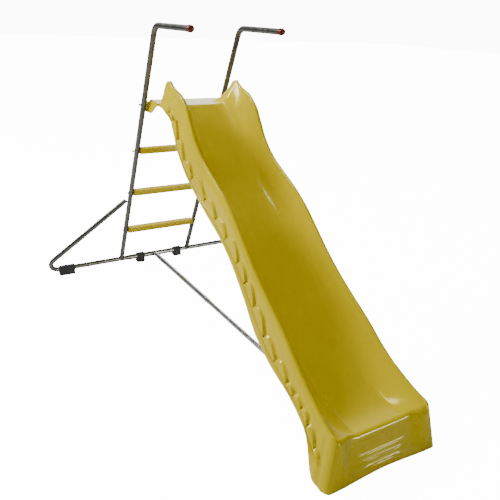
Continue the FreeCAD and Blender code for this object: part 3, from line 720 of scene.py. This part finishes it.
finish_piece("chute", build_chute(), CHUTE_YELLOW, nodes=("slide_chute",),
             outward=False)

# %% [markdown]
# ## Bent tube
# Handles, outriggers and strut are one round tube, cut and bent. A curve with a bevel would do, but
# spin and extrude say exactly what a tube bender does: push a straight length, then turn it about a
# centre. The helper keeps the place and heading of the tube's open end as it goes.

# %% A tube bender
TUBE_SIDES = 40
BEND_STEP = math.radians(6)


def open_ring(made):
    verts = [item for item in made if isinstance(item, bmesh.types.BMVert)]
    edges = [item for item in made if isinstance(item, bmesh.types.BMEdge)]
    return verts, [edge for edge in edges if all(vert in verts for vert in edge.verts)]


def bend_tube(start, heading, runs, radius, sides=TUBE_SIDES):
    """Runs are ("straight", length) or ("bend", radius, angle, axis). Returns the bmesh and its end."""
    bm = bmesh.new()
    ring = bmesh.ops.create_circle(bm, segments=sides, radius=radius)["verts"]
    turn = heading.to_track_quat("Z", "Y").to_matrix().to_4x4()
    bmesh.ops.transform(bm, matrix=Matrix.Translation(start) @ turn, verts=ring)
    verts, edges = bm.verts[:], bm.edges[:]
    place, way = start.copy(), heading.normalized()
    for kind, *sizes in runs:
        if kind == "straight":
            made = bmesh.ops.extrude_edge_only(bm, edges=edges)["geom"]
            verts, edges = open_ring(made)
            bmesh.ops.translate(bm, verts=verts, vec=way * sizes[0])
            place = place + way * sizes[0]
        else:
            bend, angle, axis = sizes
            centre = place + axis.cross(way) * bend
            steps = max(2, round(abs(angle) / BEND_STEP))
            made = bmesh.ops.spin(bm, geom=verts + edges, cent=centre, axis=axis, angle=angle, steps=steps,
                                  use_duplicate=False)["geom_last"]
            verts, edges = open_ring(made)
            turning = Matrix.Rotation(angle, 4, axis)
            place = centre + turning @ (place - centre)
            way = turning @ way
    return bm, place, way


def start_of_tube(bm):
    bm.verts.ensure_lookup_table()
    ring = bm.verts[:TUBE_SIDES]
    return sum((vert.co for vert in ring), Vector()) / len(ring)


def give_wall(bm, thickness):
    bmesh.ops.recalc_face_normals(bm, faces=bm.faces)
    middle = start_of_tube(bm)
    outward = sum(1 if face.normal.dot(face.calc_center_median() - middle) > 0 else -1
                  for face in bm.faces[:8])
    if outward < 0:
        bmesh.ops.reverse_faces(bm, faces=bm.faces)
    bmesh.ops.solidify(bm, geom=bm.faces[:], thickness=thickness)


print("a bend of a right angle takes", round(math.pi / 2 / BEND_STEP), "steps")

# %% [markdown]
# ## Ladder and outriggers
# The stiles lean forward over the platform and bend into handles. Their size comes from the frame: the
# tube's diameter is the width of the stile's box, and its place is the middle of that box. The sizes
# that a box can't tell, such as the lean and the bends, are named here.

# %% Stiles with handles
LEAN = math.radians(23.4)
UP_LADDER = Vector((0, -math.sin(LEAN), math.cos(LEAN)))
TUBE_RADIUS = box_size("upper_stile_left").x / 2
TUBE_WALL = 1.5 * MM
STILE_JOINT = 212 * MM
HANDLE_TOP = 1310 * MM
HANDLE_BEND = 55 * MM
HANDLE_REACH = 342 * MM


def on_ladder(x, height):
    return Vector((x, AXIS_Y - (height - GROUND_AXIS.z) * math.tan(LEAN), height))


def stile_x(side):
    return box_middle("upper_stile_" + side).x


def upper_stile(side):
    corner = HANDLE_BEND * math.tan((math.pi / 2 - LEAN) / 2)
    rise = (HANDLE_TOP - STILE_JOINT) / math.cos(LEAN)
    runs = (("straight", rise - corner), ("bend", HANDLE_BEND, math.pi / 2 - LEAN, ACROSS),
            ("straight", HANDLE_REACH - corner))
    bm, end, _ = bend_tube(on_ladder(stile_x(side), STILE_JOINT), UP_LADDER, runs, TUBE_RADIUS)
    give_wall(bm, TUBE_WALL)
    print("handle ends at", [round(value, 3) for value in end])
    return finish_piece("upper_stile_" + side + "_tube", bm, TUBE_STEEL, nodes=("upper_stile_" + side,))


for side, _ in SIDES:
    upper_stile(side)

# %% [markdown]
# The lower stile meets the ground tube in a fish mouth. Its first ring is slid along the tube until it
# lies on the ground tube's surface. A small fillet of weld closes the corner: three rings of the same
# outline, each pushed out less than the one before.

# %% Lower stiles
JOINT_GAP = 0.4 * MM
FIRST_CUT = 20 * MM
BEAD = 2.2 * MM
BEAD_WALL = 0.6 * MM
BEAD_RINGS = ((1.0, 0.2), (0.7, 0.7), (0.0, 1.6))        # how far out and how far up, in beads


def cope(verts, axis_point, way, radius):
    """Slides a ring along the tube onto a tube that runs across at the axis point."""
    square = ACROSS.cross(way)
    for vert in verts:
        off = (vert.co - axis_point).dot(square)
        reach = math.sqrt(max(radius ** 2 - off ** 2, 0.0))
        now = (vert.co - axis_point).dot(way)
        vert.co += way * (reach - now)


def lower_stile(side):
    foot = on_ladder(stile_x(side), GROUND_AXIS.z)
    length = (STILE_JOINT - GROUND_AXIS.z) / math.cos(LEAN) - JOINT_GAP
    runs = (("straight", FIRST_CUT), ("straight", length - FIRST_CUT))
    bm, _, _ = bend_tube(foot, UP_LADDER, runs, TUBE_RADIUS)
    bm.verts.ensure_lookup_table()
    cope(bm.verts[:TUBE_SIDES], foot, UP_LADDER, TUBE_RADIUS)
    give_wall(bm, TUBE_WALL)
    return finish_piece("lower_stile_" + side + "_tube", bm, TUBE_STEEL, nodes=("lower_stile_" + side,))


def weld_bead(side):
    foot = on_ladder(stile_x(side), GROUND_AXIS.z)
    bm, _, _ = bend_tube(foot, UP_LADDER, (("straight", BEAD), ("straight", BEAD)), TUBE_RADIUS)
    bm.verts.ensure_lookup_table()
    for ring, (out, up) in enumerate(BEAD_RINGS):
        verts = bm.verts[ring * TUBE_SIDES:(ring + 1) * TUBE_SIDES]
        for vert in verts:
            spoke = vert.co - foot - UP_LADDER * (vert.co - foot).dot(UP_LADDER)
            vert.co += spoke.normalized() * out * BEAD
        cope(verts, foot, UP_LADDER, TUBE_RADIUS + up * BEAD)
    give_wall(bm, BEAD_WALL)
    return finish_piece("weld_" + side, bm, TUBE_STEEL)


for side, _ in SIDES:
    lower_stile(side)
    weld_bead(side)

# %% [markdown]
# An outrigger is one tube: out along the ground, round a tight bend, and back up to the stile. Its last
# stretch is pressed flat, as a bender does before drilling it, so the end is cut into short lengths
# whose rings are squashed more and more.

# %% Ground tubes with braces
LUG_SPREAD = 0.16
OUTRIGGER_REACH = 602 * MM
OUTRIGGER_BEND = 44 * MM
OUTRIGGER_ANGLE = math.radians(45.2)
SEAT = 0.3 * MM
LUG_LONG = 34 * MM
LUG_CUTS = 8
LUG_FLAT = 0.62


def press_flat(bm, tip, way, across, length):
    """Squashes a tube's end towards the plane square to across, and spreads it a little."""
    spread = way.cross(across)
    for vert in bm.verts:
        back = (tip - vert.co).dot(way)
        if back > length or (vert.co - tip).length > length + 3 * TUBE_RADIUS:
            continue
        amount = ease(1.25 * (1 - back / length))
        vert.co -= across * (vert.co - tip).dot(across) * LUG_FLAT * amount
        vert.co += spread * (vert.co - tip).dot(spread) * LUG_SPREAD * amount


def base_loop(side, sign):
    way = ACROSS * sign
    axis = way.cross(UP_LADDER)
    along = OUTRIGGER_REACH - OUTRIGGER_BEND
    brace_from = along + OUTRIGGER_BEND * math.sin(OUTRIGGER_ANGLE)
    clear = abs(stile_x(side)) + TUBE_RADIUS * (1 + math.sin(OUTRIGGER_ANGLE)) + SEAT
    brace = (brace_from - clear) / math.cos(OUTRIGGER_ANGLE)
    lug = [("straight", LUG_LONG / LUG_CUTS)] * LUG_CUTS
    start = Vector((sign * SEAT, AXIS_Y, GROUND_AXIS.z))
    runs = [("straight", along - SEAT), ("bend", OUTRIGGER_BEND, math.pi - OUTRIGGER_ANGLE, axis),
            ("straight", brace - LUG_LONG)] + lug
    bm, tip, heading = bend_tube(start, way, runs, TUBE_RADIUS)
    press_flat(bm, tip, heading, axis, LUG_LONG)
    give_wall(bm, TUBE_WALL)
    return finish_piece("base_loop_" + side + "_tube", bm, TUBE_STEEL, nodes=("base_loop_" + side,))


for side, sign in SIDES:
    base_loop(side, sign)

# %% [markdown]
# The sleeve and the two strut tubes are straight. Each one's box in the frame gives its two ends and
# its radius, so one helper makes all three.

# %% Sleeve and strut
SLEEVE_WALL = 1.6 * MM


def straight_tube(node, heading, finish, wall):
    size, middle = box_size(node), box_middle(node)
    length = abs(size.dot(heading))
    radius = size.z / 2
    bm, _, _ = bend_tube(middle - heading * length / 2, heading, (("straight", length),), radius)
    give_wall(bm, wall)
    return finish_piece(node + "_round", bm, finish, nodes=(node,))


straight_tube("base_sleeve", ACROSS, SLEEVE_STEEL, SLEEVE_WALL)
straight_tube("strut_rear_tube", Vector((0, -1, 0)), STRUT_STEEL, TUBE_WALL)
straight_tube("strut_front_tube", Vector((0, -1, 0)), STRUT_STEEL, TUBE_WALL)

# %% [markdown]
# ## Steps
# A step is a moulded channel: rounded along its edges, open below, with fine ribs on the tread so that
# a wet shoe holds. We bevel a box, cut the tread into strips, raise every other strip, and sink the
# underside.

# %% Steps
STEP_ROUND = 6.5 * MM
TREAD_STRIPS = 9
STRIP_AREA = 0.0005
RIB_HEIGHT = 0.9 * MM
RIB_SLOPE = 0.8 * MM
STEP_WALL = 3 * MM


def step_blank(node):
    low, high = (Vector(corner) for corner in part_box(node))
    bm = bmesh.new()
    bmesh.ops.create_cube(bm, size=1.0)
    bmesh.ops.scale(bm, vec=high - low, verts=bm.verts)
    bmesh.ops.translate(bm, vec=(low + high) / 2, verts=bm.verts)
    length = high.x - low.x
    long_edges = [edge for edge in bm.edges if abs(edge.calc_length() - length) < MM]
    bmesh.ops.bevel(bm, geom=long_edges, offset=STEP_ROUND, offset_type="OFFSET", segments=6, profile=0.5,
                    affect="EDGES", material=-1)
    return bm


def facing(bm, way):
    """The largest face that looks along a direction."""
    return max((face for face in bm.faces if face.normal.dot(way) > 0.99), key=lambda face: face.calc_area())


def rib_tread(bm):
    tread = facing(bm, UP)
    short = sorted(tread.edges, key=lambda edge: edge.calc_length())[:2]
    bmesh.ops.subdivide_edges(bm, edges=short, cuts=TREAD_STRIPS - 1, use_grid_fill=True)
    top = max(vert.co.z for vert in bm.verts)
    level = [face for face in bm.faces if face.normal.z > 0.99]
    strips = [face for face in level if face.calc_center_median().z > top - 0.01 * MM]
    strips = [face for face in strips if face.calc_area() > STRIP_AREA]
    strips.sort(key=lambda face: face.calc_center_median().y)
    bmesh.ops.inset_individual(bm, faces=strips[1::2], thickness=RIB_SLOPE, depth=RIB_HEIGHT)


def sink_underside(bm):
    under = facing(bm, -UP)
    bmesh.ops.inset_region(bm, faces=[under], thickness=STEP_WALL)
    under = facing(bm, -UP)
    made = bmesh.ops.extrude_discrete_faces(bm, faces=[under])["faces"]
    depth = max(vert.co.z for vert in bm.verts) - min(vert.co.z for vert in bm.verts) - 2 * STEP_WALL
    bmesh.ops.translate(bm, vec=UP * depth, verts=made[0].verts)


def build_step(node):
    bm = step_blank(node)
    bm.normal_update()
    rib_tread(bm)
    bm.normal_update()
    sink_underside(bm)
    return finish_piece(node + "_tread", bm, STEP_YELLOW, nodes=(node,))


for number in (1, 2, 3):
    build_step(f"step_{number}")

# %% [markdown]
# ## Rubber feet
# A foot is a block of rubber pushed over the tube: round above, nearly square below, and a little
# pinched at its ends. A circle of vertices is moved to that outline, and its rings are pushed along the
# tube. The last ring turns inwards to the bore, so the foot is a closed ring of rubber with its hole.

# %% Feet
FOOT_SIDES = 56
SQUARENESS = 0.36
# Each ring is a share of the foot's length and its scale, or no scale for a ring of the bore.
HALF_RINGS = ((0.0, None), (0.0, 0.9), (0.012, 0.955), (0.04, 0.985), (0.09, 1.0), (0.16, 1.0),
              (0.19, 0.965), (0.22, 1.0))
FOOT_RINGS = HALF_RINGS + tuple((1.0 - share, scale) for share, scale in reversed(HALF_RINGS))


def foot_outline(angle, round_radius, half_depth, floor_drop):
    rise, out = math.sin(angle), math.cos(angle)
    if rise >= 0:
        return round_radius * out, round_radius * rise
    half = round_radius + (half_depth - round_radius) * ease(-rise * 2.5)
    return half * math.copysign(abs(out) ** SQUARENESS, out), -floor_drop * abs(rise) ** SQUARENESS


def rubber_foot(node, bore):
    size, middle = box_size(node), box_middle(node)
    axis = Vector((middle.x, AXIS_Y, GROUND_AXIS.z))
    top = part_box(node)[1][2] - axis.z
    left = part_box(node)[0][0]
    bm = bmesh.new()
    bmesh.ops.create_circle(bm, segments=FOOT_SIDES, radius=1.0)
    verts, edges = bm.verts[:], bm.edges[:]
    first = edges
    angles = [math.atan2(vert.co.y, vert.co.x) for vert in verts]
    for number, (share, scale) in enumerate(FOOT_RINGS):
        if number:
            verts, edges = open_ring(bmesh.ops.extrude_edge_only(bm, edges=edges)["geom"])
        for vert, angle in zip(verts, angles):
            y, z = foot_outline(angle, top, size.y / 2, axis.z)
            if scale is None:
                y, z = bore * math.cos(angle), bore * math.sin(angle)
            vert.co = (left + size.x * share, axis.y + y * (scale or 1.0), axis.z + z * (scale or 1.0))
    bmesh.ops.bridge_loops(bm, edges=first + edges)
    return finish_piece(node + "_rubber", bm, FOOT_RUBBER, nodes=(node,))


SLEEVE_RADIUS = box_size("base_sleeve").z / 2
for side, _ in SIDES:
    rubber_foot("corner_foot_" + side, TUBE_RADIUS)
    rubber_foot("centre_foot_" + side, SLEEVE_RADIUS)

# %% [markdown]
# ## Caps on the handles
# A cap is turned, so it is spun: a short outline of its section, carried once round the handle's axis
# and merged where it closes.

# %% Handle caps
CAP_STEPS = 12
SPIN_STEPS = 48


def cap_outline(radius, skirt, dome):
    """Points (back from the nose, radius) of half the cap's section."""
    yield 0.0, TUBE_RADIUS + 0.2 * MM
    yield 0.0, radius - 0.7 * MM
    yield 0.7 * MM, radius
    yield skirt - 1.2 * MM, radius
    yield skirt - 0.5 * MM, radius - 0.5 * MM
    for step in range(CAP_STEPS + 1):
        angle = math.pi / 2 * step / CAP_STEPS
        yield skirt + dome * math.sin(angle), (radius - 0.5 * MM) * math.cos(angle)


def handle_cap(side):
    node = "handle_cap_" + side
    low, high = (Vector(corner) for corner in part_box(node))
    middle = (low + high) / 2
    radius = (high.x - low.x) / 2
    dome = radius - 1 * MM
    back = high.y
    bm = bmesh.new()
    outline = [bm.verts.new((middle.x, back - off, middle.z + out))
               for off, out in cap_outline(radius, back - low.y - dome, dome)]
    edges = [bm.edges.new(pair) for pair in zip(outline, outline[1:])]
    bmesh.ops.spin(bm, geom=outline + edges, cent=middle, axis=(0, 1, 0), angle=math.tau, steps=SPIN_STEPS,
                   use_merge=True)
    return finish_piece(node + "_dome", bm, CAP_RED, nodes=(node,))


for side, _ in SIDES:
    handle_cap(side)

# %% [markdown]
# ## Spring clips
# The pins are held by hairpin clips of spring wire. One leg goes through the pin; the other has a wave
# that snaps round it. They are the only pieces that come off, so each one rides on a body of its own.

# %% Clips
WIRE_RADIUS = 1.0 * MM
CLIP_BEND = 5.0 * MM
WAVE = math.radians(34)
WIRE_SIDES = 16


def spring_clip(node):
    low, high = (Vector(corner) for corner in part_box(node))
    start = Vector(((low.x + high.x) / 2, low.y + WIRE_RADIUS, low.z + 0.2 * MM))
    leg = high.z - low.z - WIRE_RADIUS - CLIP_BEND
    back = -ACROSS
    runs = (("straight", leg), ("bend", CLIP_BEND, math.pi, back), ("straight", 3 * MM),
            ("bend", 5 * MM, WAVE, back), ("bend", 4 * MM, -2 * WAVE, back), ("bend", 5 * MM, WAVE, back),
            ("straight", 6 * MM), ("bend", 4 * MM, -WAVE, back))
    bm, _, _ = bend_tube(start, UP, runs, WIRE_RADIUS, sides=WIRE_SIDES)
    bmesh.ops.holes_fill(bm, edges=bm.edges, sides=WIRE_SIDES)
    return finish_piece(node + "_wire", bm, HARDWARE_ZINC, body=node, nodes=(node,))


for side, _ in SIDES:
    spring_clip("platform_clip_" + side)
    spring_clip("step_clip_" + side)

# %% [markdown]
# ## Pins and bolts
# Pins and bolts are right as the frame has them. They keep their mesh and only get the zinc finish.

# %% Carried-over hardware
HARDWARE = ("platform_pin_left", "platform_pin_right", "step_pin_left", "step_pin_right",
            "step_bolts", "strut_bolt")
for node in HARDWARE:
    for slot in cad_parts[node].material_slots:
        slot.material = HARDWARE_ZINC
print("hardware:", len(HARDWARE), "nodes with the zinc finish")

# %% [markdown]
# ## Floor, light and camera
# The slide stands on a pale floor in soft studio light. A large panel hangs to the left, a smaller one
# overhead, and the room is bright low down behind the ladder and dim elsewhere, which gives the tubes
# something dark and something bright to mirror. One lamp only shows as a glint on the exit's lip. The
# floor glows white to the camera alone, and takes ordinary light and shadow for everything else.

# %% Floor
FLOOR_HALF = 30.0
FLOOR_DROP = 0.3 * MM
PAPER_WHITE = 14.0


def pale_floor():
    bm = bmesh.new()
    bmesh.ops.create_grid(bm, x_segments=2, y_segments=2, size=FLOOR_HALF)
    bmesh.ops.translate(bm, vec=(0, 0, -FLOOR_DROP), verts=bm.verts)
    mesh = bpy.data.meshes.new("floor")
    bm.to_mesh(mesh)
    bm.free()
    floor = bpy.data.objects.new("floor", mesh)
    bpy.context.scene.collection.objects.link(floor)
    finish = bpy.data.materials.new("pale_floor")
    finish.use_nodes = True
    nodes, links = finish.node_tree.nodes, finish.node_tree.links
    shader = nodes["Principled BSDF"]
    shader.inputs["Base Color"].default_value = (0.80, 0.80, 0.80, 1)
    shader.inputs["Roughness"].default_value = 0.9
    glow = nodes.new("ShaderNodeEmission")
    glow.inputs["Strength"].default_value = PAPER_WHITE
    both = nodes.new("ShaderNodeAddShader")
    path = nodes.new("ShaderNodeLightPath")
    choose = nodes.new("ShaderNodeMixShader")
    links.new(shader.outputs["BSDF"], both.inputs[0])
    links.new(glow.outputs["Emission"], both.inputs[1])
    links.new(path.outputs["Is Camera Ray"], choose.inputs["Fac"])
    links.new(shader.outputs["BSDF"], choose.inputs[1])
    links.new(both.outputs["Shader"], choose.inputs[2])
    links.new(choose.outputs["Shader"], nodes["Material Output"].inputs["Surface"])
    mesh.materials.append(finish)
    return floor


pale_floor()
print("floor half width:", FLOOR_HALF, "m")

# %% [markdown]
# The sky is a colour ramp over one direction. A dot product with the bright direction says how nearly a
# ray looks that way. What the camera itself sees is plain white.

# %% Sky and lamps
SKY_STRENGTH = 2.4
BRIGHT_WAY = (0.54, 0.84, 0.05)
SKY_STOPS = ((0.66, 0.05), (0.96, 1.0))


def pale_sky():
    world = bpy.data.worlds.new("pale_sky")
    bpy.context.scene.world = world
    world.use_nodes = True
    nodes, links = world.node_tree.nodes, world.node_tree.links
    place = nodes.new("ShaderNodeTexCoord")
    facing_back = nodes.new("ShaderNodeVectorMath")
    facing_back.operation = "DOT_PRODUCT"
    facing_back.inputs[1].default_value = BRIGHT_WAY
    ramp = nodes.new("ShaderNodeValToRGB")
    for stop, (position, grey) in zip((ramp.color_ramp.elements[0], ramp.color_ramp.elements[1]), SKY_STOPS):
        stop.position = position
        stop.color = (grey, grey, grey, 1)
    links.new(place.outputs["Generated"], facing_back.inputs[0])
    links.new(facing_back.outputs["Value"], ramp.inputs["Fac"])
    white = nodes.new("ShaderNodeBackground")
    white.inputs["Strength"].default_value = PAPER_WHITE
    path = nodes.new("ShaderNodeLightPath")
    choose = nodes.new("ShaderNodeMixShader")
    sky = nodes["Background"]
    sky.inputs["Strength"].default_value = SKY_STRENGTH
    links.new(ramp.outputs["Color"], sky.inputs["Color"])
    links.new(path.outputs["Is Camera Ray"], choose.inputs["Fac"])
    links.new(sky.outputs["Background"], choose.inputs[1])
    links.new(white.outputs["Background"], choose.inputs[2])
    links.new(choose.outputs["Shader"], nodes["World Output"].inputs["Surface"])


def soft_lamp(name, place, target, size, power, glint_only=False):
    lamp = bpy.data.lights.new(name, "AREA")
    lamp.shape = "SQUARE"
    lamp.size = size
    lamp.energy = power
    holder = bpy.data.objects.new(name, lamp)
    holder.location = place
    holder.visible_diffuse = not glint_only
    holder.rotation_euler = (Vector(target) - Vector(place)).to_track_quat("-Z", "Y").to_euler()
    bpy.context.scene.collection.objects.link(holder)


pale_sky()
MIDDLE = Vector((0, 0, 0.6))
soft_lamp("key_left_behind", (-2.9, 2.5, 3.3), MIDDLE, 1.2, 230)
soft_lamp("overhead", (-0.6, 0.6, 4.6), MIDDLE, 0.9, 66)
soft_lamp("exit_glint", (1.8, -3.3, 0.72), (0, -0.94, 0.15), 0.9, 110, glint_only=True)
soft_lamp("front_fill", (-1.0, -5.0, 2.2), MIDDLE, 2.0, 22)

# %% [markdown]
# The camera stands to the front left at a grown-up's chest height, looks down at the slide and is
# tilted a little.

# %% Camera
CAMERA_PLACE = (-1.1998, -1.9957, 1.3625)
HEADING = -0.562182
PITCH_DOWN = 0.385801
ROLL = 0.050337
FOCAL_LENGTH = 41.37


def place_camera():
    camera = bpy.data.cameras.new("camera")
    camera.lens = FOCAL_LENGTH
    camera.clip_end = 200.0
    holder = bpy.data.objects.new("camera", camera)
    turn = Matrix.Rotation(HEADING, 4, "Z") @ Matrix.Rotation(math.pi / 2 - PITCH_DOWN, 4, "X")
    holder.matrix_world = Matrix.Translation(CAMERA_PLACE) @ turn @ Matrix.Rotation(ROLL, 4, "Z")
    bpy.context.scene.collection.objects.link(holder)
    bpy.context.scene.camera = holder


place_camera()
